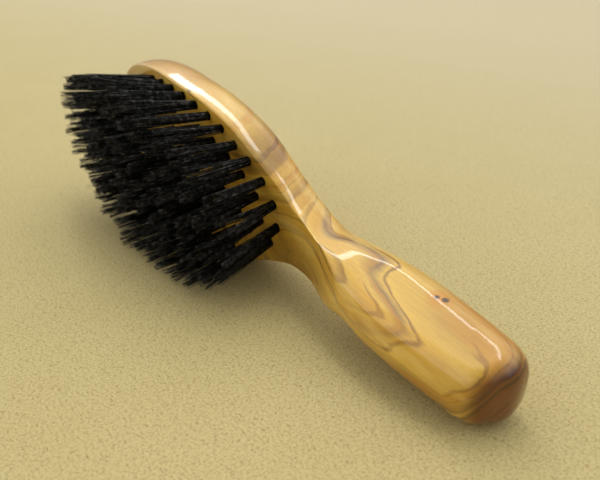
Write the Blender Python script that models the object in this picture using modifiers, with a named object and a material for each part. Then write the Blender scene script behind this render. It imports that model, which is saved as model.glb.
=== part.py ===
"""Beard brush: a one-piece olive wood body with tufts of bristle set in drilled holes.

The brush is designed in its own axes: x runs from the head's far tip to the end of the handle, y across
the width, and z towards the bristle tips, all in millimetres. An empty then lays it on its side, the way
it rests on a table: +X along the brush, -Y towards the bristle tips and +Z up, with the origin at the
middle of the bounding box's underside.
"""

import math

import bmesh
import bpy
import numpy as np
from mathutils import Matrix, Vector

MM = 0.001

# Overall sizes.
LENGTH = 145.0          # of the outline; rounding its ends takes 1.3 mm of this
HEAD_CENTRE = 37.5      # the far end of the head is a fan of sections about this point on the spine
TAIL_CENTRE = 137.0     # and the end of the handle about this one
HEAD_ROUNDNESS = 2.15   # power of the superellipse that bounds the far end of the head
TAIL_ROUNDNESS = 3.0    # and of the one that bounds the end of the handle

# Half width of the plan outline along the straight part of the spine.
WIDTH_AT = (37.5, 52.0, 66.5, 79.0, 87.5, 94.5, 102.0, 112.0, 124.5, 137.0)
HALF_WIDTH = (20.2, 20.2, 17.7, 11.7, 7.7, 5.9, 6.9, 8.0, 8.1, 8.0)

# Section sizes along the brush. A section is a polygon with three rounded corners on each side:
# the front corner, the widest line and the back corner. The front and back corners lie at a share of
# the half width, the crowns are how far the middle stands above its corners, and the softnesses are
# the lengths of side that the corners round off.
SECTION_AT = (0.0, 37.5, 66.5, 87.5, 94.5, 102.0, 109.0, 116.5, 131.0, 145.0)
FRONT_HEIGHT = (5.4, 7.0, 5.6, 4.2, 6.6, 8.3, 8.9, 9.8, 9.3, 8.0)
FRONT_CORNER = (0.95, 0.96, 0.93, 0.90, 0.95, 0.86, 0.67, 0.66, 0.68, 0.69)
FRONT_CROWN = (0.0, 0.0, 0.0, 0.0, 0.5, 0.8, 1.1, 1.4, 1.6, 1.6)
WIDEST_HEIGHT = (0.6, 0.5, 0.4, 0.0, 0.1, 0.1, 0.0, -0.2, -0.3, -0.3)
BACK_CORNER = (0.83, 0.85, 0.80, 0.78, 0.78, 0.79, 0.81, 0.83, 0.83, 0.82)
BACK_HEIGHT = (-4.2, -7.0, -7.4, -6.4, -6.2, -6.3, -6.9, -7.6, -7.7, -7.0)
BACK_CROWN = (1.9, 2.1, 2.1, 1.9, 1.8, 1.7, 1.7, 1.7, 1.7, 1.7)
FRONT_SOFTNESS = (0.6, 0.6, 0.6, 0.7, 1.2, 2.0, 2.8, 3.2, 3.2, 3.0)
WIDEST_SOFTNESS = (4.5, 5.0, 4.5, 3.0, 2.5, 2.0, 2.0, 2.0, 2.0, 2.0)
BACK_SOFTNESS = (5.0, 5.5, 5.0, 4.5, 4.2, 4.0, 4.0, 4.0, 4.0, 4.0)

HEAD_STATIONS = 8       # sections in the fan at the far end
SPINE_STATIONS = 22     # sections along the spine
TAIL_STATIONS = 5       # sections in the fan at the handle's end
ARC_STEPS = 3           # points round each rounded corner
CORNER_LIMIT = 0.45     # the most of a side that one rounded corner may take
SIDE_LIMIT = 0.8        # the same for the widest line's corner, towards the front
MERGE = 0.01            # points closer than this become one
BODY_SHARP = math.radians(35.0)

# The head's face runs out at the neck in a scoop, whose edge is a crisp curve across the handle.
# Its cutter is a wide block over the neck, with the scoop as its underside.
SCOOP_AT = (83.0, 87.5, 94.5, 102.0, 108.2, 114.0)
SCOOP_HEIGHT = (4.5, 4.0, 4.8, 6.8, 8.6, 11.0)
SCOOP_STEPS = 16
SCOOP_CUTTER = 40.0

# The two flats sanded on the sides of the handle.
FLAT_HALF_WIDTH = 7.55  # from the middle plane to the flat, at the height of the widest line
FLAT_LEAN = math.radians(17.0)
FLAT_START = 108.0
FLAT_CUTTER = 50.0

# The field of tufts.
FIELD_CENTRE = 43.0
FIELD_ROUNDNESS = 2.0
HOLE_RADIUS = 1.25
HOLE_DEPTH = 5.8
HOLE_OVERRUN = 2.0      # how far the drill starts above the face
TUFT_CLEARANCE = 0.3
ROOT_RADIUS = 0.95
FREE_LENGTH = 18.2      # bristle standing above the face
STRAIGHT_LENGTH = 0.5   # of it that is still as thin as the root
TIP_RADIUS = 2.1
TIP_EDGE_DROP = 1.3     # how far the rim of the tip lies below its top
CROWN_RADIUS = 1.5
CROWN_DROP = 0.3
TUFT_SIDES = 6
TUFT_SHARP = math.radians(50.0)
OVAL_STEPS = 2000       # to measure along a ring
# Each ring: half length, half width, number of tufts, and where along the first gap it starts.
RINGS = (
    ("outer", 37.2, 17.4, 32, 0.85),
    ("inner", 32.0, 12.0, 24, 0.75),
)
MIDDLE_ROW_HALF_LENGTH = 11.4
MIDDLE_ROW_COUNT = 3
LEAN_FAR = math.radians(22.0)    # how far the tufts splay at the far end of the field
LEAN_NEAR = math.radians(20.0)   # at the end next to the handle
LEAN_UPPER = math.radians(10.0)  # at the side that is uppermost
LEAN_LOWER = math.radians(0.0)   # at the side the brush lies on, where the table presses them straight
LEAN_POWER = 1.5                 # the splay grows faster than the distance from the middle

# The brush lies on the head's rim, the tips of the lowest tufts and the side of the handle.
REST_PITCH = math.radians(8.03)  # the handle's end sinks towards the table
REST_ROLL = math.radians(2.26)

WOOD_COLOUR = (0.62, 0.38, 0.14, 1.0)
WOOD_ROUGHNESS = 0.25
BRISTLE_COLOUR = (0.012, 0.012, 0.013, 1.0)
BRISTLE_ROUGHNESS = 0.45


def along(places, values, x):
    """Value at x on a smooth curve through the given values (cubic Hermite, slopes from the neighbours)."""
    places = np.asarray(places, float)
    values = np.asarray(values, float)
    spans = np.diff(places)
    slopes = np.diff(values) / spans
    inner = (slopes[:-1] * spans[1:] + slopes[1:] * spans[:-1]) / (spans[1:] + spans[:-1])
    tangents = np.concatenate([slopes[:1], inner, slopes[-1:]])
    i = int(np.clip(np.searchsorted(places, x) - 1, 0, len(spans) - 1))
    t = float(np.clip((x - places[i]) / spans[i], 0.0, 1.0))
    start = (2 * t**3 - 3 * t**2 + 1) * values[i] + (t**3 - 2 * t**2 + t) * spans[i] * tangents[i]
    end = (3 * t**2 - 2 * t**3) * values[i + 1] + (t**3 - t**2) * spans[i] * tangents[i + 1]
    return float(start + end)


def section_value(values, x):
    return along(SECTION_AT, values, x)


def quarter_oval(centre, reach, half_width, roundness, angle):
    """Point on a superellipse quarter: angle 0 is the tip, a right angle is the widest point."""
    x = centre + reach * math.cos(angle) ** (2 / roundness)
    y = half_width * math.sin(angle) ** (2 / roundness)
    return x, y


def outline_rays():
    """(spine x, outline x, outline y) from the far tip, round the +y side, to the handle's tip."""
    rays = []
    for i in range(HEAD_STATIONS):
        angle = math.pi / 2 * i / HEAD_STATIONS
        x, y = quarter_oval(HEAD_CENTRE, -HEAD_CENTRE, HALF_WIDTH[0], HEAD_ROUNDNESS, angle)
        rays.append((HEAD_CENTRE, x, y))
    for x in np.linspace(HEAD_CENTRE, TAIL_CENTRE, SPINE_STATIONS):
        rays.append((x, x, along(WIDTH_AT, HALF_WIDTH, x)))
    for i in range(1, TAIL_STATIONS + 1):
        angle = max(math.pi / 2 * (1 - i / TAIL_STATIONS), 0.0)
        x, y = quarter_oval(TAIL_CENTRE, LENGTH - TAIL_CENTRE, HALF_WIDTH[-1], TAIL_ROUNDNESS, angle)
        rays.append((TAIL_CENTRE, x, y))
    return rays


def section_corner(ray, share, height_of):
    """A corner of the section polygon, at a share of the way from the spine to the outline."""
    spine_x, outline_x, outline_y = ray
    x = spine_x + share * (outline_x - spine_x)
    return np.array((x, share * outline_y, height_of(x)))


def section_points(ray):
    """Points of a half section from the middle of the front, round the side, to the middle of the back."""
    x = ray[1]
    corners = [
        section_corner(ray, 0.0, lambda at: section_value(FRONT_HEIGHT, at)),
        section_corner(ray, section_value(FRONT_CORNER, x),
                       lambda at: section_value(FRONT_HEIGHT, at) - section_value(FRONT_CROWN, at)),
        section_corner(ray, 1.0, lambda at: section_value(WIDEST_HEIGHT, at)),
        section_corner(ray, section_value(BACK_CORNER, x),
                       lambda at: section_value(BACK_HEIGHT, at) + section_value(BACK_CROWN, at)),
        section_corner(ray, 0.0, lambda at: section_value(BACK_HEIGHT, at)),
    ]
    softness = (FRONT_SOFTNESS, WIDEST_SOFTNESS, BACK_SOFTNESS)
    limits = (CORNER_LIMIT, SIDE_LIMIT, CORNER_LIMIT)
    points = [corners[0], (corners[0] + corners[1]) / 2]
    for before, corner, after, values, limit in zip(corners, corners[1:], corners[2:], softness, limits):
        points += rounded_corner(before, corner, after, section_value(values, x), limit)
    points += [(corners[3] + corners[4]) / 2, corners[4]]
    return points


def rounded_corner(before, corner, after, softness, limit_before):
    """A quadratic curve that rounds off one corner of a polygon."""
    to_before = before - corner
    to_after = after - corner
    reach_before = min(softness, limit_before * np.linalg.norm(to_before))
    reach_after = min(softness, CORNER_LIMIT * np.linalg.norm(to_after))
    start = corner + to_before / np.linalg.norm(to_before) * reach_before
    end = corner + to_after / np.linalg.norm(to_after) * reach_after
    steps = [i / ARC_STEPS for i in range(ARC_STEPS + 1)]
    return [(1 - t) ** 2 * start + 2 * t * (1 - t) * corner + t**2 * end for t in steps]


def half_body_mesh():
    """The +y half of the body as a skin over its sections, open at the middle plane."""
    rows = [section_points(ray) for ray in outline_rays()]
    bm = bmesh.new()
    grid = [[bm.verts.new(Vector(point) * MM) for point in row] for row in rows]
    for row, following in zip(grid, grid[1:]):
        for a, b, c, d in zip(row, row[1:], following[1:], following):
            bm.faces.new((a, b, c, d))
    bmesh.ops.remove_doubles(bm, verts=bm.verts, dist=MERGE * MM)
    bmesh.ops.recalc_face_normals(bm, faces=bm.faces)
    mesh = bpy.data.meshes.new("wooden_body")
    bm.to_mesh(mesh)
    bm.free()
    return mesh


def front_height(x):
    return section_value(FRONT_HEIGHT, x)


def oval_points(half_length, half_width, count, start):
    """Evenly spaced points round a superellipse centred on the field."""
    turn = np.linspace(0.0, 2 * math.pi, OVAL_STEPS + 1)
    power = 2 / FIELD_ROUNDNESS
    x = FIELD_CENTRE + half_length * np.sign(np.cos(turn)) * np.abs(np.cos(turn)) ** power
    y = half_width * np.sign(np.sin(turn)) * np.abs(np.sin(turn)) ** power
    run = np.concatenate([[0.0], np.cumsum(np.hypot(np.diff(x), np.diff(y)))])
    stops = (np.arange(count) + start) / count * run[-1]
    return list(zip(np.interp(stops, run, x), np.interp(stops, run, y)))


def tuft_places():
    """(name, x, y) of every tuft."""
    places = []
    for ring, half_length, half_width, count, start in RINGS:
        for i, (x, y) in enumerate(oval_points(half_length, half_width, count, start), 1):
            places.append((f"tuft_{ring}_{i:02d}", float(x), float(y)))
    for i in range(MIDDLE_ROW_COUNT):
        share = 2 * i / (MIDDLE_ROW_COUNT - 1) - 1
        places.append((f"tuft_middle_{i + 1:02d}", FIELD_CENTRE + share * MIDDLE_ROW_HALF_LENGTH, 0.0))
    return places


def tuft_direction(x, y):
    """Unit vector along a tuft: tufts splay more the further they are from the middle of the field."""
    lengthways = (x - FIELD_CENTRE) / RINGS[0][1]
    sideways = y / RINGS[0][2]
    limit = LEAN_NEAR if lengthways > 0 else LEAN_FAR
    lean_x = limit * math.copysign(abs(lengthways) ** LEAN_POWER, lengthways)
    lean_y = (LEAN_UPPER if sideways > 0 else LEAN_LOWER) * sideways
    return Vector((math.tan(lean_x), math.tan(lean_y), 1.0)).normalized()


def tuft_matrix(x, y):
    """Places a shape whose axis is z and whose origin is the tuft's centre on the wood's face."""
    root = Vector((x, y, front_height(x))) * MM
    turn = Vector((0.0, 0.0, 1.0)).rotation_difference(tuft_direction(x, y))
    return Matrix.Translation(root) @ turn.to_matrix().to_4x4()


def turned_mesh(name, profile, sides):
    """A solid of revolution: a profile of (radius, height) pairs, top to bottom, turned about z."""
    mesh = bpy.data.meshes.new(name)
    points = [(radius * MM, 0.0, height * MM) for radius, height in profile]
    mesh.from_pydata(points, [(i, i + 1) for i in range(len(points) - 1)], [])
    turned = bpy.data.objects.new(name, mesh)
    bpy.context.scene.collection.objects.link(turned)
    screw = turned.modifiers.new("turn", "SCREW")
    screw.steps = sides
    screw.render_steps = sides
    screw.use_merge_vertices = True
    screw.merge_threshold = MERGE * MM
    graph = bpy.context.evaluated_depsgraph_get()
    result = bpy.data.meshes.new_from_object(turned.evaluated_get(graph))
    bpy.data.objects.remove(turned)
    return result


def tuft_mesh():
    """A tuft: a straight root in its hole and a bundle that opens towards a slightly domed tip."""
    foot = TUFT_CLEARANCE - HOLE_DEPTH
    profile = (
        (0.0, FREE_LENGTH),
        (CROWN_RADIUS, FREE_LENGTH - CROWN_DROP),
        (TIP_RADIUS, FREE_LENGTH - TIP_EDGE_DROP),
        (ROOT_RADIUS, STRAIGHT_LENGTH),
        (ROOT_RADIUS, foot),
        (0.0, foot),
    )
    return turned_mesh("tuft", profile, TUFT_SIDES)


def material(name, colour, roughness):
    made = bpy.data.materials.new(name)
    made.use_nodes = True
    shader = made.node_tree.nodes["Principled BSDF"]
    shader.inputs["Base Color"].default_value = colour
    shader.inputs["Roughness"].default_value = roughness
    shader.inputs["Metallic"].default_value = 0.0
    return made


def new_object(name, mesh, collection, parent):
    made = bpy.data.objects.new(name, mesh)
    collection.objects.link(made)
    made.parent = parent
    return made


def hide_cutter(cutter):
    cutter.hide_render = True
    cutter.display_type = "WIRE"


def cut(target, cutter, name):
    boolean = target.modifiers.new(name, "BOOLEAN")
    boolean.operation = "DIFFERENCE"
    boolean.solver = "EXACT"
    boolean.object = cutter


def hole_cutter(collection, parent):
    """All the drilled holes as one cutter."""
    bm = bmesh.new()
    middle = Matrix.Translation((0.0, 0.0, (HOLE_OVERRUN - HOLE_DEPTH) / 2 * MM))
    for _, x, y in tuft_places():
        bmesh.ops.create_cone(
            bm, cap_ends=True, segments=TUFT_SIDES, radius1=HOLE_RADIUS * MM, radius2=HOLE_RADIUS * MM,
            depth=(HOLE_DEPTH + HOLE_OVERRUN) * MM, matrix=tuft_matrix(x, y) @ middle,
        )
    mesh = bpy.data.meshes.new("tuft_holes")
    bm.to_mesh(mesh)
    bm.free()
    cutter = new_object("tuft_holes", mesh, collection, parent)
    hide_cutter(cutter)
    return cutter


def flat_cutter(side, collection, parent):
    """A block whose inner face is the plane of one of the handle's side flats; side is +1 or -1."""
    bm = bmesh.new()
    bmesh.ops.create_cube(bm, size=1.0)
    bmesh.ops.translate(bm, verts=bm.verts, vec=(0.5, 0.5, 0.0))
    bmesh.ops.scale(bm, verts=bm.verts, vec=Vector((FLAT_CUTTER, FLAT_CUTTER / 2, FLAT_CUTTER)) * MM)
    mesh = bpy.data.meshes.new("handle_flat")
    bm.to_mesh(mesh)
    bm.free()
    cutter = new_object("handle_flat_right" if side > 0 else "handle_flat_left", mesh, collection, parent)
    cutter.location = Vector((FLAT_START, side * FLAT_HALF_WIDTH, WIDEST_HEIGHT[-1])) * MM
    cutter.rotation_euler = (side * FLAT_LEAN, 0.0, 0.0)
    if side < 0:
        mesh.transform(Matrix.Scale(-1.0, 4, (0.0, 1.0, 0.0)))
        mesh.flip_normals()
    hide_cutter(cutter)
    return cutter


def scoop_cutter(collection, parent):
    """A block over the neck whose underside is the scoop."""
    stops = np.linspace(SCOOP_AT[0], SCOOP_AT[-1], SCOOP_STEPS)
    curve = [(x, along(SCOOP_AT, SCOOP_HEIGHT, x)) for x in stops]
    profile = curve + [(SCOOP_AT[-1], SCOOP_CUTTER / 2), (SCOOP_AT[0], SCOOP_CUTTER / 2)]
    bm = bmesh.new()
    outline = bm.faces.new([bm.verts.new(Vector((x, -SCOOP_CUTTER / 2, z)) * MM) for x, z in profile])
    swept = bmesh.ops.extrude_face_region(bm, geom=[outline])
    moved = [each for each in swept["geom"] if isinstance(each, bmesh.types.BMVert)]
    bmesh.ops.translate(bm, verts=moved, vec=(0.0, SCOOP_CUTTER * MM, 0.0))
    bmesh.ops.recalc_face_normals(bm, faces=bm.faces)
    mesh = bpy.data.meshes.new("neck_scoop")
    bm.to_mesh(mesh)
    bm.free()
    cutter = new_object("neck_scoop", mesh, collection, parent)
    hide_cutter(cutter)
    return cutter


def wooden_body(collection, cutters, parent):
    body = new_object("wooden_body", half_body_mesh(), collection, parent)
    mirror = body.modifiers.new("other_half", "MIRROR")
    mirror.use_axis = (False, True, False)
    mirror.merge_threshold = MERGE * MM
    cut(body, scoop_cutter(cutters, parent), "scoop")
    cut(body, flat_cutter(1, cutters, parent), "flat_right")
    cut(body, flat_cutter(-1, cutters, parent), "flat_left")
    cut(body, hole_cutter(cutters, parent), "holes")
    body.data.materials.append(material("olive_wood", WOOD_COLOUR, WOOD_ROUGHNESS))
    body.data.shade_smooth()
    body.data.set_sharp_from_angle(angle=BODY_SHARP)
    return body


def bristle_tufts(collection, parent):
    mesh = tuft_mesh()
    mesh.materials.append(material("black_bristle", BRISTLE_COLOUR, BRISTLE_ROUGHNESS))
    mesh.shade_smooth()
    mesh.set_sharp_from_angle(angle=TUFT_SHARP)
    for name, x, y in tuft_places():
        tuft = new_object(name, mesh, collection, parent)
        tuft.matrix_local = tuft_matrix(x, y)


def corner_range(objects):
    """Lowest and highest corners of the evaluated objects, in world space."""
    graph = bpy.context.evaluated_depsgraph_get()
    points = []
    for each in objects:
        evaluated = each.evaluated_get(graph)
        mesh = evaluated.to_mesh()
        points += [evaluated.matrix_world @ vertex.co for vertex in mesh.vertices]
        evaluated.to_mesh_clear()
    points = np.array(points)
    return points.min(axis=0), points.max(axis=0)


def lay_on_side(rest, objects):
    """Turns the brush onto its side and sets the world origin under the middle of its box."""
    rest.rotation_euler = (math.pi / 2 + REST_ROLL, REST_PITCH, 0.0)
    bpy.context.view_layer.update()
    low, high = corner_range(objects)
    rest.location = (-(low[0] + high[0]) / 2, -(low[1] + high[1]) / 2, -low[2])


def main():
    for old in list(bpy.data.objects):
        bpy.data.objects.remove(old)
    parts = bpy.data.collections.new("beard_brush")
    cutters = bpy.data.collections.new("cutters")
    bpy.context.scene.collection.children.link(parts)
    bpy.context.scene.collection.children.link(cutters)
    rest = bpy.data.objects.new("resting_place", None)
    parts.objects.link(rest)
    wooden_body(parts, cutters, rest)
    bristle_tufts(parts, rest)
    lay_on_side(rest, [each for each in parts.objects if each.type == "MESH"])


main()
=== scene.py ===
"""Looks of the beard brush: an oiled and lacquered olive wood body, tufts of black bristle and a pale table.

The body is modelled in the brush's own axes, in millimetres: x runs from the head's far tip to the end of
the handle, y across the width, and z towards the bristle tips. BRUSH_TO_WORLD then lays it in the frame.
"""

import math

import bmesh
import bpy
import numpy as np
from mathutils import Euler, Matrix, Vector


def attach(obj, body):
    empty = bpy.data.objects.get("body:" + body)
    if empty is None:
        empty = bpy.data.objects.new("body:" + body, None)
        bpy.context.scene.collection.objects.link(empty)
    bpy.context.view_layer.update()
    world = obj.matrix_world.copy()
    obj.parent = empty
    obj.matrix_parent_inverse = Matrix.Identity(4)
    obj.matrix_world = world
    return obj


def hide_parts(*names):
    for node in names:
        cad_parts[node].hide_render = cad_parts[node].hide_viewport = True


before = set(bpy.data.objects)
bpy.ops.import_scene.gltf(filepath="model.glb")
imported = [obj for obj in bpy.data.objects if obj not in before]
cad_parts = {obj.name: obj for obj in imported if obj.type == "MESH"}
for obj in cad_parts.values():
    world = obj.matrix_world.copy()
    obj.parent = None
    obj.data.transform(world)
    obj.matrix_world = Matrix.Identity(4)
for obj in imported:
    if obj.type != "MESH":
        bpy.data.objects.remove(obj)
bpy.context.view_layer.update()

MM = 0.001
MERGE = 0.01            # points closer than this become one
SEED = 7

# Where the CAD's brush lies in the frame.
REST_PITCH = math.radians(8.03)
REST_ROLL = math.radians(2.26)
REST_PLACE = Vector((-70.565, 8.952, 26.963))
REST_TURN = Euler((math.pi / 2 + REST_ROLL, REST_PITCH, 0.0))
BRUSH_TO_WORLD = Matrix.Translation(REST_PLACE * MM) @ REST_TURN.to_matrix().to_4x4()

# The body's outline and sections are the CAD's. A section is a polygon with three rounded corners on each
# side, at the front, at the widest line and at the back. The front and back corners lie at a share of the
# half width, the crowns are how far the middle stands above them, and the softnesses are the lengths of side
# that the corners round off.
LENGTH = 145.0
HEAD_CENTRE = 37.5
TAIL_CENTRE = 137.0
HEAD_ROUNDNESS = 2.15
TAIL_ROUNDNESS = 3.0
WIDTH_AT = (37.5, 52.0, 66.5, 79.0, 87.5, 94.5, 102.0, 112.0, 124.5, 137.0)
HALF_WIDTH = (20.2, 20.2, 17.7, 11.7, 7.7, 5.9, 6.9, 8.0, 8.1, 8.0)
SECTION_AT = (0.0, 37.5, 66.5, 87.5, 94.5, 102.0, 109.0, 116.5, 131.0, 145.0)
FRONT_HEIGHT = (5.4, 7.0, 5.6, 4.2, 6.6, 8.3, 8.9, 9.8, 9.3, 8.0)
FRONT_CORNER = (0.95, 0.96, 0.93, 0.90, 0.95, 0.86, 0.67, 0.66, 0.68, 0.69)
FRONT_CROWN = (0.0, 0.0, 0.0, 0.0, 0.5, 0.8, 1.1, 1.4, 1.6, 1.6)
WIDEST_HEIGHT = (0.6, 0.5, 0.4, 0.0, 0.1, 0.1, 0.0, -0.2, -0.3, -0.3)
BACK_CORNER = (0.83, 0.85, 0.80, 0.78, 0.78, 0.79, 0.81, 0.83, 0.83, 0.82)
BACK_HEIGHT = (-4.2, -7.0, -7.4, -6.4, -6.2, -6.3, -6.9, -7.6, -7.7, -7.0)
BACK_CROWN = (1.9, 2.1, 2.1, 1.9, 1.8, 1.7, 1.7, 1.7, 1.7, 1.7)
FRONT_SOFTNESS = (0.6, 0.6, 0.6, 0.7, 1.2, 2.0, 2.8, 3.2, 3.2, 3.0)
WIDEST_SOFTNESS = (4.5, 5.0, 4.5, 3.0, 2.5, 2.0, 2.0, 2.0, 2.0, 2.0)
BACK_SOFTNESS = (5.0, 5.5, 5.0, 4.5, 4.2, 4.0, 4.0, 4.0, 4.0, 4.0)
CORNER_LIMIT = 0.45
SIDE_LIMIT = 0.8
BODY_SHARP = math.radians(40.0)

# The scoop and the flat start some 3 mm before the CAD's, because they fade in, and their edges are rounded.
SCOOP_AT = (80.0, 87.5, 94.5, 102.0, 108.2, 114.0)
SCOOP_HEIGHT = (4.6, 4.0, 4.8, 6.8, 8.6, 11.0)
SCOOP_EDGE = 0.3
FLAT_HALF_WIDTH = 7.55
FLAT_LEAN = math.radians(17.0)
FLAT_START = 105.0
FLAT_FADE = 6.0
FLAT_EDGE = 0.35
FLAT_END = 134.0        # beyond this the flat's edge is crisper
FLAT_END_EDGE = 0.15

# How finely the body is sampled.
HEAD_STATIONS = 56
SPINE_STEPS = ((HEAD_CENTRE, 84.0, 0.6), (84.0, 111.0, 0.25), (111.0, TAIL_CENTRE, 0.5))
TAIL_STATIONS = 26
STRAIGHT_STEPS = 8
ARC_STEPS = 10

# Tufts. The outer and inner rings come from the CAD's nodes, and the infill is added between them.
FIELD_CENTRE = 43.0
HOLE_RADIUS = 1.08      # closer round the bristles than the CAD's, which keeps its solids apart
HOLE_DEPTH = 5.8
HOLE_OVERRUN = 2.0
HOLE_SIDES = 20
FREE_LENGTH = 18.2
FOOT_SLICE = 1.2        # points of a CAD tuft this close to its lowest one belong to its foot
INFILL_RING = (26.2, 6.3, 18, 0.4)    # half length, half width, tufts, where the first one stands in its gap
INFILL_ROW = (-17.1, -5.7, 5.7, 17.1)
LEAN_FAR = math.radians(22.0)
LEAN_NEAR = math.radians(20.0)
LEAN_UPPER = math.radians(10.0)
LEAN_LOWER = math.radians(0.0)
LEAN_POWER = 1.5
FIELD_HALF_LENGTH = 37.2
FIELD_HALF_WIDTH = 17.4
OVAL_STEPS = 2000

BRISTLES = 72
CLUMPS = 5
BRISTLE_RADIUS = 0.13
BUNDLE_RADIUS = 0.95
ROOT_DEPTH = 2.0
RINGS_PER_BRISTLE = 6
BRISTLE_SIDES = 3
TIP_THICKNESS = 0.35    # of the root's
TAPER_POWER = 0.7
THICKNESS_RANGE = (0.75, 1.2)

# How the bristles of a tuft differ. Lengths are shares of the free length, and bends are at the tip.
TUFT_LENGTH_SPREAD = 0.02
CLUMP_LENGTH_SPREAD = 0.045
BRISTLE_LENGTH_SPREAD = 0.045
LONGEST = 1.03
OPENING = (1.85, 2.45)  # how many times wider the tuft is at its tip than at its root
OPENING_POWER = 1.3
GATHERING = 0.55        # how much of the way each bristle goes to its clump's middle at the tip
GATHERING_POWER = 1.5
CLUMP_BEND = 0.55
CLUMP_BEND_POWER = 2
STRAY = 0.22
STRAY_POWER = 1.6
TABLE_GAP = 1.2         # between a bristle's centre line and the table, in bristle radii
TABLE_SOFTNESS = 1.0    # height over which a bristle eases onto the table

# The light: a dim room that glows on its far and its near side, and a long window.
# Directions are in the brush's own axes.
ROOM_GLOW = 0.26
FAR_GLOW = 1.3
NEAR_GLOW = 1.15
BACKDROP = 0.75
NEAR_TOWARDS = (-0.6, 0.25, 0.76)
WINDOW_FROM = (-0.86, 0.40, -0.30)
WINDOW_TO = (0.05, 0.97, -0.12)
WINDOW_AWAY = 1.2
WINDOW_LONG = 1.5
WINDOW_WIDE = 0.1
WINDOW_WATTS = 3.4

# The camera, solved together with the shape.
CAMERA_PLACE = Vector((131.26, -72.74, 83.87))
CAMERA_TURN = (63.57, 0.925, 55.12)
LENS = 43.85
SENSOR = 36.0
FSTOP = 29.0
FOCUS_AT = (96.0, 5.0, 4.0)


def along(places, values, x):
    """Value at x on a smooth curve through the given values (cubic Hermite, slopes from the neighbours)."""
    places = np.asarray(places, float)
    values = np.asarray(values, float)
    spans = np.diff(places)
    slopes = np.diff(values) / spans
    inner = (slopes[:-1] * spans[1:] + slopes[1:] * spans[:-1]) / (spans[1:] + spans[:-1])
    tangents = np.concatenate([slopes[:1], inner, slopes[-1:]])
    i = int(np.clip(np.searchsorted(places, x) - 1, 0, len(spans) - 1))
    t = float(np.clip((x - places[i]) / spans[i], 0.0, 1.0))
    start = (2 * t**3 - 3 * t**2 + 1) * values[i] + (t**3 - 2 * t**2 + t) * spans[i] * tangents[i]
    end = (3 * t**2 - 2 * t**3) * values[i + 1] + (t**3 - t**2) * spans[i] * tangents[i + 1]
    return float(start + end)


def section_value(values, x):
    return along(SECTION_AT, values, x)


def quarter_oval(centre, reach, half_width, roundness, angle):
    """Point on a superellipse quarter: angle 0 is the tip, a right angle is the widest point."""
    x = centre + reach * math.cos(angle) ** (2 / roundness)
    y = half_width * math.sin(angle) ** (2 / roundness)
    return x, y


def spine_stations():
    """Places along the spine, closer together at the neck, where the scoop's edge crosses them."""
    parts = [np.arange(start, end, step) for start, end, step in SPINE_STEPS]
    return np.concatenate(parts + [[TAIL_CENTRE]])


def outline_rays():
    """(spine x, outline x, outline y) from the far tip, round the +y side, to the handle's tip."""
    rays = []
    for i in range(HEAD_STATIONS):
        angle = math.pi / 2 * i / HEAD_STATIONS
        x, y = quarter_oval(HEAD_CENTRE, -HEAD_CENTRE, HALF_WIDTH[0], HEAD_ROUNDNESS, angle)
        rays.append((HEAD_CENTRE, x, y))
    for x in spine_stations():
        rays.append((x, x, along(WIDTH_AT, HALF_WIDTH, x)))
    for i in range(1, TAIL_STATIONS + 1):
        angle = max(math.pi / 2 * (1 - i / TAIL_STATIONS), 0.0)
        x, y = quarter_oval(TAIL_CENTRE, LENGTH - TAIL_CENTRE, HALF_WIDTH[-1], TAIL_ROUNDNESS, angle)
        rays.append((TAIL_CENTRE, x, y))
    return rays


def section_corner(ray, share, height_of):
    """A corner of the section polygon, at a share of the way from the spine to the outline."""
    spine_x, outline_x, outline_y = ray
    x = spine_x + share * (outline_x - spine_x)
    return np.array((x, share * outline_y, height_of(x)))


def rounded_corner(before, corner, after, softness, limit_before):
    """Points on a quadratic curve that rounds off one corner of a polygon."""
    to_before = before - corner
    to_after = after - corner
    reach_before = min(softness, limit_before * np.linalg.norm(to_before))
    reach_after = min(softness, CORNER_LIMIT * np.linalg.norm(to_after))
    start = corner + to_before / np.linalg.norm(to_before) * reach_before
    end = corner + to_after / np.linalg.norm(to_after) * reach_after
    steps = [i / ARC_STEPS for i in range(ARC_STEPS + 1)]
    return [(1 - t) ** 2 * start + 2 * t * (1 - t) * corner + t**2 * end for t in steps]


def straight(start, end):
    """Points strictly between two ends."""
    return [start + (end - start) * i / STRAIGHT_STEPS for i in range(1, STRAIGHT_STEPS)]


def section_points(ray):
    """Points of a half section from the middle of the front, round the side, to the middle of the back."""
    x = ray[1]
    corners = [
        section_corner(ray, 0.0, lambda at: section_value(FRONT_HEIGHT, at)),
        section_corner(ray, section_value(FRONT_CORNER, x),
                       lambda at: section_value(FRONT_HEIGHT, at) - section_value(FRONT_CROWN, at)),
        section_corner(ray, 1.0, lambda at: section_value(WIDEST_HEIGHT, at)),
        section_corner(ray, section_value(BACK_CORNER, x),
                       lambda at: section_value(BACK_HEIGHT, at) + section_value(BACK_CROWN, at)),
        section_corner(ray, 0.0, lambda at: section_value(BACK_HEIGHT, at)),
    ]
    softness = (FRONT_SOFTNESS, WIDEST_SOFTNESS, BACK_SOFTNESS)
    limits = (CORNER_LIMIT, SIDE_LIMIT, CORNER_LIMIT)
    points = [corners[0]]
    for before, corner, after, values, limit in zip(corners, corners[1:], corners[2:], softness, limits):
        arc = rounded_corner(before, corner, after, section_value(values, x), limit)
        points += straight(points[-1], arc[0]) + arc
    return points + straight(points[-1], corners[-1]) + [corners[-1]]


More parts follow.
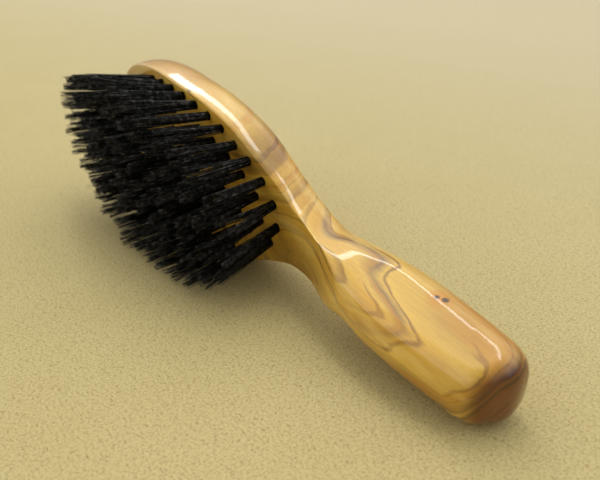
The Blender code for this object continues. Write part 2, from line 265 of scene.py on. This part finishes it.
def press_flat(point):
    """Moves a point of the +y half back to the plane of the sanded flat, with a small round at its edge."""
    normal = np.array((0.0, math.cos(FLAT_LEAN), math.sin(FLAT_LEAN)))
    on_plane = np.array((0.0, FLAT_HALF_WIDTH, WIDEST_HEIGHT[-1]))
    proud = float((point - on_plane) @ normal)
    share = min(max((point[0] - FLAT_START) / FLAT_FADE, 0.0), 1.0)
    edge = FLAT_EDGE if point[0] < FLAT_END else FLAT_END_EDGE
    sunk = max(proud, 0.0)
    if abs(proud) < edge:
        sunk += (edge - abs(proud)) ** 2 / (4 * edge)
    return point - normal * sunk * share


def scoop(point):
    """Lowers a point of the front to the scoop at the neck, with a small round at the scoop's edge."""
    if not SCOOP_AT[0] < point[0] < SCOOP_AT[-1]:
        return point
    proud = point[2] - along(SCOOP_AT, SCOOP_HEIGHT, point[0])
    sunk = max(proud, 0.0)
    if abs(proud) < SCOOP_EDGE:
        sunk += (SCOOP_EDGE - abs(proud)) ** 2 / (4 * SCOOP_EDGE)
    return point - np.array((0.0, 0.0, sunk))


def body_half():
    """The +y half of the body as a skin over its sections, open at the middle plane."""
    rows = [[press_flat(scoop(point)) for point in section_points(ray)] for ray in outline_rays()]
    bm = bmesh.new()
    grid = [[bm.verts.new(Vector(point) * MM) for point in row] for row in rows]
    for row, following in zip(grid, grid[1:]):
        for a, b, c, d in zip(row, row[1:], following[1:], following):
            bm.faces.new((a, b, c, d))
    bmesh.ops.remove_doubles(bm, verts=bm.verts, dist=MERGE * MM)
    bmesh.ops.recalc_face_normals(bm, faces=bm.faces)
    mesh = bpy.data.meshes.new("olive_body")
    bm.to_mesh(mesh)
    bm.free()
    return mesh


def front_height(x):
    return section_value(FRONT_HEIGHT, x)


def tuft_direction(x, y):
    """Unit vector along a tuft: tufts splay more the further they are from the middle of the field."""
    lengthways = (x - FIELD_CENTRE) / FIELD_HALF_LENGTH
    sideways = y / FIELD_HALF_WIDTH
    limit = LEAN_NEAR if lengthways > 0 else LEAN_FAR
    lean_x = limit * math.copysign(abs(lengthways) ** LEAN_POWER, lengthways)
    lean_y = (LEAN_UPPER if sideways > 0 else LEAN_LOWER) * sideways
    return Vector((math.tan(lean_x), math.tan(lean_y), 1.0)).normalized()


def oval_points(half_length, half_width, count, start):
    """Evenly spaced points round an ellipse centred on the field."""
    turn = np.linspace(0.0, 2 * math.pi, OVAL_STEPS + 1)
    x = FIELD_CENTRE + half_length * np.cos(turn)
    y = half_width * np.sin(turn)
    run = np.concatenate([[0.0], np.cumsum(np.hypot(np.diff(x), np.diff(y)))])
    stops = (np.arange(count) + start) / count * run[-1]
    return list(zip(np.interp(stops, run, x), np.interp(stops, run, y)))


def cad_tuft(node):
    """Where a CAD tuft stands on the wood's face: x and y in the brush's axes, from its solid."""
    to_brush = BRUSH_TO_WORLD.inverted()
    points = np.array([to_brush @ vertex.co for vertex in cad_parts[node].data.vertices]) / MM
    foot = points[points[:, 2] < points[:, 2].min() + FOOT_SLICE].mean(axis=0)
    top = points[points[:, 2].argmax()]
    direction = Vector(top - foot).normalized()
    x, y, _ = foot + np.array(direction) * (HOLE_DEPTH / direction.z)
    return float(x), float(y)


def tufts():
    """(piece name, CAD node or None, x, y) of every tuft; the infill has no CAD node."""
    places = []
    for node in sorted(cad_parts):
        if node.startswith("tuft_"):
            places.append((node.replace("tuft_", "bristles_"), node, *cad_tuft(node)))
    infill = oval_points(*INFILL_RING) + [(FIELD_CENTRE + step, 0.0) for step in INFILL_ROW]
    for i, (x, y) in enumerate(infill, 1):
        places.append((f"bristles_infill_{i:02d}", None, float(x), float(y)))
    return places


def tuft_matrix(x, y):
    """Places a shape whose axis is z and whose origin is the tuft's centre on the wood's face."""
    turn = Vector((0.0, 0.0, 1.0)).rotation_difference(tuft_direction(x, y))
    return Matrix.Translation(Vector((x, y, front_height(x)))) @ turn.to_matrix().to_4x4()


def hole_cutter(places):
    """All the drilled holes as one cutter, in the brush's axes."""
    bm = bmesh.new()
    scale = Matrix.Scale(MM, 4)
    middle = Matrix.Translation((0.0, 0.0, (HOLE_OVERRUN - HOLE_DEPTH) / 2))
    for _, _, x, y in places:
        bmesh.ops.create_cone(
            bm, cap_ends=True, segments=HOLE_SIDES, radius1=HOLE_RADIUS, radius2=HOLE_RADIUS,
            depth=HOLE_DEPTH + HOLE_OVERRUN, matrix=scale @ tuft_matrix(x, y) @ middle,
        )
    mesh = bpy.data.meshes.new("hole_cutter")
    bm.to_mesh(mesh)
    bm.free()
    cutter = bpy.data.objects.new("hole_cutter", mesh)
    bpy.context.scene.collection.objects.link(cutter)
    return cutter


def keep_brush_place(mesh):
    """Stores each point's place in the brush's own axes, in millimetres, for the wood grain to follow."""
    places = np.zeros(len(mesh.vertices) * 3)
    mesh.vertices.foreach_get("co", places)
    attribute = mesh.attributes.new("brush_place", "FLOAT_VECTOR", "POINT")
    attribute.data.foreach_set("vector", places / MM)


def build_body(places, wood):
    body = bpy.data.objects.new("olive_body", body_half())
    bpy.context.scene.collection.objects.link(body)
    mirror = body.modifiers.new("other_half", "MIRROR")
    mirror.use_axis = (False, True, False)
    mirror.merge_threshold = MERGE * MM
    cutter = hole_cutter(places)
    holes = body.modifiers.new("holes", "BOOLEAN")
    holes.operation = "DIFFERENCE"
    holes.solver = "EXACT"
    holes.object = cutter
    result = bpy.data.meshes.new_from_object(body.evaluated_get(bpy.context.evaluated_depsgraph_get()))
    body.modifiers.clear()
    body.data = result
    bpy.data.objects.remove(cutter)
    keep_brush_place(result)
    result.transform(BRUSH_TO_WORLD)
    result.materials.clear()
    result.materials.append(wood)
    result.shade_smooth()
    result.set_sharp_from_angle(angle=BODY_SHARP)
    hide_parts("wooden_body")
    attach(body, "root")
    return body


def bristle_roots(rng):
    """Places of the bristles across the root of a tuft, and for each the middle and number of its clump."""
    angle = rng.uniform(0.0, 2 * math.pi, BRISTLES)
    radius = BUNDLE_RADIUS * np.sqrt(rng.uniform(0.0, 1.0, BRISTLES))
    root = np.stack([radius * np.cos(angle), radius * np.sin(angle)], axis=1)
    middles = root[:CLUMPS]
    clump = np.linalg.norm(root[:, None] - middles[None], axis=2).argmin(axis=1)
    return root, middles[clump], clump


def bristle_paths(rng, x, y):
    """Centre lines of the bristles of one tuft in the world, in metres: an array (bristle, ring, xyz)."""
    root, middle, clump = bristle_roots(rng)
    clump_length = rng.normal(0.0, CLUMP_LENGTH_SPREAD, CLUMPS)[clump]
    clump_bend = rng.normal(0.0, CLUMP_BEND, (CLUMPS, 2))[clump]
    opening = rng.uniform(*OPENING)
    stray = rng.normal(0.0, STRAY, (BRISTLES, 2))
    length = 1.0 - np.abs(rng.normal(0.0, BRISTLE_LENGTH_SPREAD, BRISTLES)) + clump_length
    length = FREE_LENGTH * np.minimum(length + rng.normal(0.0, TUFT_LENGTH_SPREAD), LONGEST)
    t = np.linspace(0.0, 1.0, RINGS_PER_BRISTLE)
    up = -ROOT_DEPTH + (length + ROOT_DEPTH)[:, None] * t[None, :]
    t = t[None, :, None]
    pull = GATHERING * t**GATHERING_POWER
    gathered = root[:, None, :] * (1.0 - pull) + middle[:, None, :] * pull
    across = gathered * (1.0 + (opening - 1.0) * t**OPENING_POWER)
    across += stray[:, None, :] * t**STRAY_POWER + clump_bend[:, None, :] * t**CLUMP_BEND_POWER
    local = np.concatenate([across, up[:, :, None]], axis=2)
    to_world = np.array(BRUSH_TO_WORLD @ Matrix.Scale(MM, 4) @ tuft_matrix(x, y))
    return local @ to_world[:3, :3].T + to_world[:3, 3]


def lift_off_table(paths):
    """Bristles that would pass through the table bend and lie along it."""
    clear = BRISTLE_RADIUS * MM * TABLE_GAP
    soft = TABLE_SOFTNESS * MM
    low = paths[:, :, 2] - clear
    paths[:, :, 2] = clear + np.where(low > soft, low, soft * np.exp(np.minimum(low, soft) / soft - 1.0))
    return paths


def tube_points(paths, rng):
    """Points round thin tapered tubes, in order of bristle, ring and side."""
    count, rings, _ = paths.shape
    tangent = np.gradient(paths, axis=1)
    tangent /= np.linalg.norm(tangent, axis=2, keepdims=True)
    side = np.cross(tangent, rng.normal(0.0, 1.0, (count, 1, 3)))
    side /= np.linalg.norm(side, axis=2, keepdims=True)
    other = np.cross(tangent, side)
    taper = np.linspace(1.0, TIP_THICKNESS, rings) ** TAPER_POWER
    thick = BRISTLE_RADIUS * MM * rng.uniform(*THICKNESS_RANGE, count)
    reach = (thick[:, None] * taper[None, :])[:, :, None]
    turns = [2 * math.pi * k / BRISTLE_SIDES for k in range(BRISTLE_SIDES)]
    around = [paths + reach * (math.cos(turn) * side + math.sin(turn) * other) for turn in turns]
    return np.stack(around, axis=2).reshape(-1, 3)


def tube_faces(count, rings):
    """Faces of closed tubes over the points of tube_points."""
    faces = []
    for bristle in range(count):
        first = bristle * rings * BRISTLE_SIDES
        last = first + (rings - 1) * BRISTLE_SIDES
        for start in range(first, last, BRISTLE_SIDES):
            for k in range(BRISTLE_SIDES):
                here = start + k
                beside = start + (k + 1) % BRISTLE_SIDES
                faces.append((here, beside, beside + BRISTLE_SIDES, here + BRISTLE_SIDES))
        faces.append(tuple(last + k for k in range(BRISTLE_SIDES)))
        faces.append(tuple(first + k for k in reversed(range(BRISTLE_SIDES))))
    return faces


def bristle_mesh(name, paths, rng):
    """Thin tapered tubes along the given paths."""
    count, rings, _ = paths.shape
    mesh = bpy.data.meshes.new(name)
    mesh.from_pydata(tube_points(paths, rng).tolist(), [], tube_faces(count, rings))
    mesh.shade_smooth()
    return mesh


def build_tufts(places, bristle):
    rng = np.random.default_rng(SEED)
    for name, cad_node, x, y in places:
        mesh = bristle_mesh(name, lift_off_table(bristle_paths(rng, x, y)), rng)
        mesh.materials.append(bristle)
        tuft = bpy.data.objects.new(name, mesh)
        bpy.context.scene.collection.objects.link(tuft)
        if cad_node:
            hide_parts(cad_node)
        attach(tuft, "root")


class Nodes:
    """The node tree of a material or world, with short ways to add nodes."""

    def __init__(self, owner, shader="Principled BSDF"):
        owner.use_nodes = True
        self.tree = owner.node_tree
        self.shader = self.tree.nodes[shader]

    def put(self, socket, value):
        if isinstance(value, bpy.types.NodeSocket):
            self.tree.links.new(value, socket)
        else:
            socket.default_value = value

    def add(self, kind, inputs=None, **settings):
        made = self.tree.nodes.new("ShaderNode" + kind)
        for key, value in settings.items():
            setattr(made, key, value)
        for key, value in (inputs or {}).items():
            self.put(made.inputs[key], value)
        return made

    def math(self, operation, *values):
        made = self.add("Math", operation=operation)
        for socket, value in zip(made.inputs, values):
            self.put(socket, value)
        return made.outputs[0]

    def vector(self, operation, first, second):
        made = self.add("VectorMath", operation=operation)
        self.put(made.inputs[0], first)
        self.put(made.inputs["Scale" if operation == "SCALE" else 1], second)
        return made.outputs["Value" if operation in ("DISTANCE", "DOT_PRODUCT") else "Vector"]

    def noise(self, where, scale, detail=2.0, roughness=0.5):
        inputs = {"Vector": where, "Scale": scale, "Detail": detail, "Roughness": roughness}
        return self.add("TexNoise", inputs).outputs["Fac"]

    def stretched(self, where, stretch, scale=1.0, detail=2.0, roughness=0.5):
        """Noise over places that are scaled by a different factor along each axis."""
        return self.noise(self.vector("MULTIPLY", where, stretch), scale, detail, roughness)

    def ease(self, value, low, high, to_low=0.0, to_high=1.0):
        made = self.add("MapRange", {"Value": value, "From Min": low, "From Max": high,
                                     "To Min": to_low, "To Max": to_high}, interpolation_type="SMOOTHSTEP")
        return made.outputs["Result"]

    def mix(self, share, first, second, blend="MIX"):
        made = self.add("Mix", data_type="RGBA", blend_type=blend)
        self.put(made.inputs[0], share)
        self.put(made.inputs[6], first)
        self.put(made.inputs[7], second)
        return made.outputs[2]

    def ramp(self, value, stops):
        made = self.add("ValToRGB")
        self.put(made.inputs[0], value)
        elements = made.color_ramp.elements
        while len(elements) > 1:
            elements.remove(elements[-1])
        elements[0].position, elements[0].color = stops[0]
        for position, colour in stops[1:]:
            elements.new(position).color = colour
        return made.outputs["Color"]


# Olive wood. Its rings are sheets round a pith line that runs along the brush, low on the left.
PITH = (-6.0, -4.0)
# How far out, at each place along the brush, the ring lies that shows as the broad streak on the flat.
STREAK_AT = ((0.0, 9.0), (30.0, 12.5), (55.0, 8.5), (72.0, 9.6), (80.0, 10.5), (93.0, 12.9), (108.0, 13.9),
             (117.0, 15.2), (123.0, 15.8), (129.0, 16.5), (142.0, 16.9), (150.0, 17.0))
RING_SPAN = 18.0
HONEY = (0.72, 0.45, 0.065)
PALE = (0.80, 0.59, 0.18)
AMBER = (0.54, 0.235, 0.01)
BROWN = (0.15, 0.055, 0.006)
GREY = (0.19, 0.11, 0.045)
DARK = (0.045, 0.018, 0.007)
# Each sheet: distance from the streak, half width, how much it shows, colour.
SHEETS = (
    (-11.0, 0.5, 0.6, AMBER), (-9.4, 0.2, 0.6, BROWN), (-7.6, 0.4, 0.6, AMBER), (-5.6, 0.24, 1.0, DARK),
    (-4.6, 0.12, 0.9, BROWN), (-0.55, 0.12, 1.0, BROWN),
    (0.0, 0.45, 0.95, GREY), (0.9, 0.3, 0.5, AMBER), (1.9, 0.14, 0.8, BROWN), (3.0, 0.4, 0.6, AMBER),
    (4.4, 0.16, 0.8, BROWN), (6.4, 0.5, 0.6, AMBER), (8.6, 0.2, 0.8, BROWN),
)
KNOT = (125.0, 7.8, -1.1)
KNOT_STAIN = (0.6, 3.6)                                 # where the stain starts and stops to fade
PITS = (((124.3, 7.6, -0.8), 0.55), ((125.8, 7.8, -1.5), 0.75))     # place and radius
# Dark end grain, made deeper so that it is also painted shade on the ends.
END_GRAIN_AND_SHADE = (0.26, 0.13, 0.03)
GRAIN_ROUGHNESS = 0.45
GRAIN_SPECULAR = 0.2
LACQUER_ROUGHNESS = 0.07
RIPPLE_STRENGTH = 0.25
RIPPLE_DEPTH = 0.1

BRISTLE_TONES = ((0.001, 0.001, 0.001), (0.014, 0.014, 0.010))
TABLE_TONES = ((0.48, 0.40, 0.165), (0.53, 0.455, 0.21))
# The colour that the far side of the table drifts to: painted haze and light.
TABLE_FAR_PAINTED_HAZE = (0.57, 0.51, 0.33)
TABLE_GRIT = (0.26, 0.18, 0.055)
TABLE_FIBRE = (0.16, 0.10, 0.03)
FIBRE_STRETCHES = ((0.7, 4.2, 1.0), (4.0, 0.8, 1.0), (2.2, 2.2, 1.0))
TABLE_HALF_WIDTH = 3.0


def curve_of(nodes, value, points):
    """A smooth curve through (place, value) points, as a Float Curve node over a 0 to 1 range."""
    places = [place for place, _ in points]
    values = [each for _, each in points]
    low, high = min(values), max(values)
    share = nodes.math("DIVIDE", nodes.math("SUBTRACT", value, places[0]), places[-1] - places[0])
    made = nodes.add("FloatCurve")
    nodes.put(made.inputs["Value"], share)
    curve = made.mapping.curves[0]
    while len(curve.points) > 2:
        curve.points.remove(curve.points[1])
    scaled = [((p - places[0]) / (places[-1] - places[0]), (v - low) / (high - low)) for p, v in points]
    curve.points[0].location = scaled[0]
    curve.points[-1].location = scaled[-1]
    for place in scaled[1:-1]:
        curve.points.new(*place)
    made.mapping.update()
    return nodes.math("MULTIPLY_ADD", made.outputs["Value"], high - low, low)


def with_alpha(colour):
    return (*colour, 1.0)


def ring_stops():
    """Colour ramp stops across the rings: each sheet stands out of the honey-coloured ground."""
    stops = [(0.0, with_alpha(HONEY))]
    for offset, half_width, show, colour in SHEETS:
        middle = tuple(h + (c - h) * show for h, c in zip(HONEY, colour))
        for step, tone in ((-half_width, HONEY), (0.0, middle)):
            stops.append(((offset + step + RING_SPAN) / (2 * RING_SPAN), with_alpha(tone)))
    stops.append((1.0, with_alpha(HONEY)))
    return stops


def ring_distance(nodes, where, x, y, z):
    """How far outside the streak's ring a place lies, with the rings bent by slow and quick swirls."""
    across = nodes.math("POWER", nodes.math("SUBTRACT", y, PITH[0]), 2.0)
    above = nodes.math("POWER", nodes.math("SUBTRACT", z, PITH[1]), 2.0)
    radius = nodes.math("SQRT", nodes.math("ADD", across, above))
    ring = nodes.math("SUBTRACT", radius, curve_of(nodes, x, STREAK_AT))
    swirl = nodes.math("SUBTRACT", nodes.stretched(where, (0.022, 0.05, 0.05), detail=1.0), 0.5)
    waver = nodes.math("SUBTRACT", nodes.stretched(where, (0.05, 0.12, 0.12)), 0.5)
    ring = nodes.math("ADD", ring, nodes.math("MULTIPLY", swirl, nodes.ease(x, 60.0, 95.0, 7.0, 1.2)))
    ring = nodes.math("MULTIPLY_ADD", waver, 1.6, ring)
    return nodes.math("MULTIPLY_ADD", nodes.stretched(where, (0.2, 0.9, 0.9)), 0.3, ring)


def add_finer_sheets(nodes, colour, ring, x):
    """Amber bands, thin brown lines and broad brown strokes that follow the rings."""
    sheet = nodes.add("CombineXYZ", {0: ring, 1: nodes.math("MULTIPLY", x, 0.015)}).outputs[0]
    bands = nodes.noise(sheet, 0.8, 2.0)
    colour = nodes.mix(nodes.ease(bands, 0.5, 0.64, 0.0, 0.6), colour, with_alpha(AMBER))
    lines = nodes.noise(nodes.vector("ADD", sheet, (0.0, 0.0, 13.0)), 2.6, 1.0)
    thin = nodes.math("MULTIPLY", nodes.ease(lines, 0.6, 0.7), nodes.ease(x, 60.0, 100.0, 0.15, 0.65))
    colour = nodes.mix(thin, colour, with_alpha(BROWN))
    broad = nodes.noise(nodes.vector("ADD", sheet, (0.0, 0.0, 4.0)), 0.45, 2.0, 0.6)
    strokes = nodes.math("MULTIPLY", nodes.ease(broad, 0.6, 0.66), nodes.ease(x, 75.0, 105.0, 0.8, 0.0))
    return nodes.mix(strokes, colour, with_alpha(BROWN))


def add_ground_drift(nodes, colour, where):
    """The streaks come and go along the brush, and the ground drifts between pale and amber."""
    fade = nodes.ease(nodes.stretched(where, (0.05, 0.12, 0.12), detail=1.0), 0.35, 0.6)
    faded = nodes.math("MULTIPLY", nodes.math("SUBTRACT", 1.0, fade), 0.3)
    colour = nodes.mix(faded, colour, with_alpha(HONEY))
    amber = nodes.ease(nodes.stretched(where, (0.04, 0.16, 0.16)), 0.4, 0.65)
    colour = nodes.mix(nodes.math("MULTIPLY", amber, 0.25), colour, with_alpha(AMBER))
    pale = nodes.ease(nodes.stretched(where, (0.03, 0.2, 0.2), 1.3), 0.5, 0.7)
    return nodes.mix(nodes.math("MULTIPLY", pale, 0.4), colour, with_alpha(PALE))


def add_fibres(nodes, colour, where):
    """Fine fibres and pores that run along the brush."""
    fibre = nodes.stretched(where, (0.12, 2.4, 2.4), detail=3.0, roughness=0.6)
    colour = nodes.mix(nodes.ease(fibre, 0.3, 0.7, 0.16, 0.0), colour, with_alpha(BROWN))
    pores = nodes.stretched(where, (0.5, 7.0, 7.0), detail=1.0)
    return nodes.mix(nodes.ease(pores, 0.66, 0.76, 0.0, 0.3), colour, with_alpha(BROWN))


def add_knot(nodes, colour, where):
    """An amber stain with two dark pits."""
    knot = nodes.vector("DISTANCE", where, KNOT)
    colour = nodes.mix(nodes.ease(knot, *KNOT_STAIN, 0.95, 0.0), colour, with_alpha(AMBER))
    for pit, size in PITS:
        near = nodes.vector("DISTANCE", where, pit)
        colour = nodes.mix(nodes.ease(near, size * 0.6, size * 1.2, 0.95, 0.0), colour, with_alpha(DARK))
    return colour


def add_end_grain_and_shade(nodes, colour):
    """End grain drinks the oil and turns dark; the darkening is deepened past that as painted shade on the
    ends.
    """
    lengthways = BRUSH_TO_WORLD.to_3x3() @ Vector((1.0, 0.0, 0.0))
    normal = nodes.add("NewGeometry").outputs["Normal"]
    end = nodes.math("ABSOLUTE", nodes.vector("DOT_PRODUCT", normal, lengthways))
    return nodes.mix(nodes.ease(end, 0.3, 0.85), colour, with_alpha(END_GRAIN_AND_SHADE), "MULTIPLY")


def add_lacquer(nodes, where):
    """A glossy coat with a faint ripple over a soft ground."""
    nodes.put(nodes.shader.inputs["Roughness"], GRAIN_ROUGHNESS)
    nodes.put(nodes.shader.inputs["Specular IOR Level"], GRAIN_SPECULAR)
    nodes.put(nodes.shader.inputs["Coat Weight"], 1.0)
    nodes.put(nodes.shader.inputs["Coat Roughness"], LACQUER_ROUGHNESS)
    ripple = nodes.noise(where, 0.35, 2.0)
    bump = nodes.add("Bump", {"Height": ripple, "Strength": RIPPLE_STRENGTH, "Distance": RIPPLE_DEPTH * MM})
    nodes.put(nodes.shader.inputs["Coat Normal"], bump.outputs["Normal"])


def wood_material():
    material = bpy.data.materials.new("olive_wood")
    nodes = Nodes(material)
    where = nodes.add("Attribute", attribute_name="brush_place").outputs["Vector"]
    x, y, z = nodes.add("SeparateXYZ", {0: where}).outputs
    ring = ring_distance(nodes, where, x, y, z)
    share = nodes.math("DIVIDE", nodes.math("ADD", ring, RING_SPAN), 2 * RING_SPAN)
    colour = nodes.ramp(share, ring_stops())
    colour = add_finer_sheets(nodes, colour, ring, x)
    colour = add_ground_drift(nodes, colour, where)
    colour = add_fibres(nodes, colour, where)
    colour = add_knot(nodes, colour, where)
    nodes.put(nodes.shader.inputs["Base Color"], add_end_grain_and_shade(nodes, colour))
    add_lacquer(nodes, where)
    return material


def bristle_material():
    material = bpy.data.materials.new("black_bristle")
    nodes = Nodes(material)
    where = nodes.vector("SCALE", nodes.add("TexCoord").outputs["Object"], 1 / MM)
    tone = nodes.ease(nodes.noise(where, 1.4, 2.0), 0.35, 0.7)
    dark, light = BRISTLE_TONES
    nodes.put(nodes.shader.inputs["Base Color"], nodes.mix(tone, with_alpha(dark), with_alpha(light)))
    nodes.put(nodes.shader.inputs["Roughness"], nodes.ease(tone, 0.0, 1.0, 0.3, 0.45))
    glint = nodes.ease(nodes.noise(where, 0.9, 3.0, 0.7), 0.5, 0.66, 0.08, 1.0)
    nodes.put(nodes.shader.inputs["Specular IOR Level"], glint)
    return material


def table_material():
    material = bpy.data.materials.new("table")
    nodes = Nodes(material)
    where = nodes.vector("SCALE", nodes.add("TexCoord").outputs["Object"], 1 / MM)
    dark, light = TABLE_TONES
    colour = nodes.mix(nodes.noise(where, 0.03, 2.0), with_alpha(dark), with_alpha(light))
    # Painted haze and light: the table turns paler and greyer towards the far side.
    away = nodes.vector("DOT_PRODUCT", where, (-0.2, 0.98, 0.0))
    colour = nodes.mix(nodes.ease(away, -50.0, 350.0), colour, with_alpha(TABLE_FAR_PAINTED_HAZE))
    grit = nodes.ease(nodes.noise(where, 2.0, 4.0, 0.75), 0.34, 0.6, 0.6, 0.0)
    colour = nodes.mix(grit, colour, with_alpha(TABLE_GRIT))
    for stretch in FIBRE_STRETCHES:
        fibre = nodes.ease(nodes.stretched(where, stretch), 0.64, 0.7, 0.0, 0.8)
        colour = nodes.mix(fibre, colour, with_alpha(TABLE_FIBRE))
    nodes.put(nodes.shader.inputs["Base Color"], colour)
    nodes.put(nodes.shader.inputs["Roughness"], 0.8)
    return material


def build_table():
    bm = bmesh.new()
    bmesh.ops.create_grid(bm, x_segments=1, y_segments=1, size=TABLE_HALF_WIDTH)
    mesh = bpy.data.meshes.new("table")
    bm.to_mesh(mesh)
    bm.free()
    mesh.materials.append(table_material())
    table = bpy.data.objects.new("table", mesh)
    bpy.context.scene.collection.objects.link(table)


def soft_light(name, first, last, away, long, wide, watts):
    """A rectangular light over the brush that runs from one direction towards another and faces the brush."""
    turn = BRUSH_TO_WORLD.to_3x3()
    first = (turn @ Vector(first)).normalized()
    last = (turn @ Vector(last)).normalized()
    back = (first + last).normalized()
    side = (last - first).normalized()
    data = bpy.data.lights.new(name, "AREA")
    data.shape = "RECTANGLE"
    data.size = long
    data.size_y = wide
    data.energy = watts
    light = bpy.data.objects.new(name, data)
    facing = Matrix((side, back.cross(side), back)).transposed().to_4x4()
    light.matrix_world = Matrix.Translation(back * away) @ facing
    bpy.context.scene.collection.objects.link(light)


def build_light():
    world = bpy.data.worlds.new("room")
    nodes = Nodes(world, "Background")
    turn = BRUSH_TO_WORLD.to_3x3()
    towards = nodes.add("TexCoord").outputs["Generated"]
    side = nodes.vector("DOT_PRODUCT", towards, turn @ Vector((0.0, 0.0, 1.0)))
    up = nodes.vector("DOT_PRODUCT", towards, turn @ Vector((0.0, 1.0, 0.0)))
    far = nodes.math("MULTIPLY", nodes.ease(side, -0.15, 0.2, 1.0, 0.0), nodes.ease(up, 0.1, 0.6))
    near = nodes.vector("DOT_PRODUCT", towards, turn @ Vector(NEAR_TOWARDS))
    glow = nodes.math("MULTIPLY_ADD", far, FAR_GLOW, ROOM_GLOW)
    glow = nodes.math("MULTIPLY_ADD", nodes.ease(near, 0.2, 1.0), NEAR_GLOW, glow)
    seen = nodes.add("LightPath").outputs["Is Camera Ray"]
    glow = nodes.math("MULTIPLY", glow, nodes.math("SUBTRACT", 1.0, seen))
    glow = nodes.math("MULTIPLY_ADD", seen, BACKDROP, glow)
    nodes.put(nodes.shader.inputs["Color"], (1.0, 0.98, 0.94, 1.0))
    nodes.put(nodes.shader.inputs["Strength"], glow)
    bpy.context.scene.world = world
    soft_light("window", WINDOW_FROM, WINDOW_TO, WINDOW_AWAY, WINDOW_LONG, WINDOW_WIDE, WINDOW_WATTS)


def build_camera():
    data = bpy.data.cameras.new("camera")
    data.lens = LENS
    data.sensor_width = SENSOR
    data.clip_start = 0.005
    camera = bpy.data.objects.new("camera", data)
    camera.location = CAMERA_PLACE * MM
    camera.rotation_euler = [math.radians(angle) for angle in CAMERA_TURN]
    bpy.context.scene.collection.objects.link(camera)
    bpy.context.scene.camera = camera
    focus = bpy.data.objects.new("focus", None)
    focus.location = BRUSH_TO_WORLD @ (Vector(FOCUS_AT) * MM)
    bpy.context.scene.collection.objects.link(focus)
    data.dof.use_dof = True
    data.dof.focus_object = focus
    data.dof.aperture_fstop = FSTOP


def main():
    bpy.context.scene.view_settings.view_transform = "Standard"
    places = tufts()
    build_body(places, wood_material())
    build_tufts(places, bristle_material())
    build_table()
    build_light()
    build_camera()


main()
